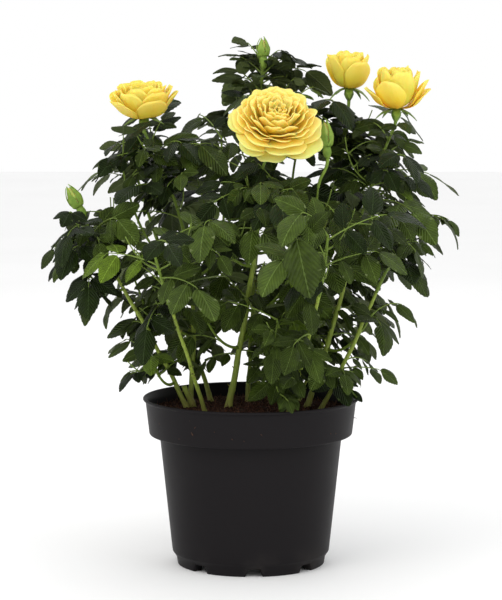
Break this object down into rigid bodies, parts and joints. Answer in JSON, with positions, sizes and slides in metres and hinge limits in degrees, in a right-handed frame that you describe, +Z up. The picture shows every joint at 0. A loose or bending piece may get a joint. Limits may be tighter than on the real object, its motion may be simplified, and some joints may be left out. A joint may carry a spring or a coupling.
{
  "type": "potted patio rose bush",
  "caption": "A bushy yellow patio rose in a round black nursery pot with filled soil, canes, pinnate leaves, open blooms and buds.",
  "frame": {"origin": "centre of the pot's underside, on the floor it stands on", "axes": "+Z up along the pot's axis, -Y towards the side with the large open bloom, +X to the right seen from there"},
  "size_m": [0.3585, 0.3451, 0.464],
  "materials": {
    "pot_plastic": "satin black polypropylene",
    "potting_soil": "moist fibrous peat",
    "cane_bark": "smooth green bark",
    "new_growth": "smooth soft shoot",
    "petals": "soft velvety petal",
    "bud_green": "smooth sepal",
    "leaves": "semi gloss leaf"
  },
  "bodies": {
    "root": {"pot": "pot_plastic", "soil": "potting_soil", "cane_left_outer": "cane_bark", "cane_left": "cane_bark", "cane_centre": "cane_bark", "cane_right": "cane_bark", "cane_right_outer": "cane_bark", "cane_back_right": "cane_bark", "cane_back": "cane_bark", "cane_rear_left": "cane_bark", "cane_rear": "cane_bark", "cane_rear_right": "cane_bark", "cane_front_left": "cane_bark", "cane_front_right": "cane_bark", "new_shoot": "new_growth", "bloom_centre": "petals", "bloom_left": "petals", "bloom_right": "petals", "bloom_back": "petals", "bud_left": "bud_green", "bud_top": "bud_green", "bud_right": "bud_green", "foliage_left_outer_top": "leaves", "foliage_left_top": "leaves", "foliage_centre_top": "leaves", "foliage_right_top": "leaves", "foliage_right_outer_top": "leaves", "foliage_back_right_top": "leaves", "foliage_back_top": "leaves", "foliage_rear_left_top": "leaves", "foliage_rear_top": "leaves", "foliage_rear_right_top": "leaves", "foliage_front_left_top": "leaves", "foliage_front_right_top": "leaves", "foliage_foot_left": "leaves", "foliage_foot_right": "leaves", "foliage_rim_right": "leaves", "foliage_mid_right": "leaves", "foliage_mid_front": "leaves", "foliage_foot_centre": "leaves", "foliage_left_outer_low": "leaves", "foliage_left_outer_rear": "leaves", "foliage_left_front": "leaves", "foliage_left_rear": "leaves", "foliage_left_high": "leaves", "foliage_left_inner": "leaves", "foliage_centre_low": "leaves", "foliage_centre_front": "leaves", "foliage_centre_left": "leaves", "foliage_right_low": "leaves", "foliage_right_inner": "leaves", "foliage_right_high": "leaves", "foliage_back_right": "leaves", "foliage_back_inner": "leaves", "foliage_back_low": "leaves", "foliage_back_high": "leaves", "foliage_rear_left_low": "leaves", "foliage_rear_low": "leaves", "foliage_rear_high": "leaves", "foliage_rear_right_low": "leaves"}
  },
  "joints": []
}
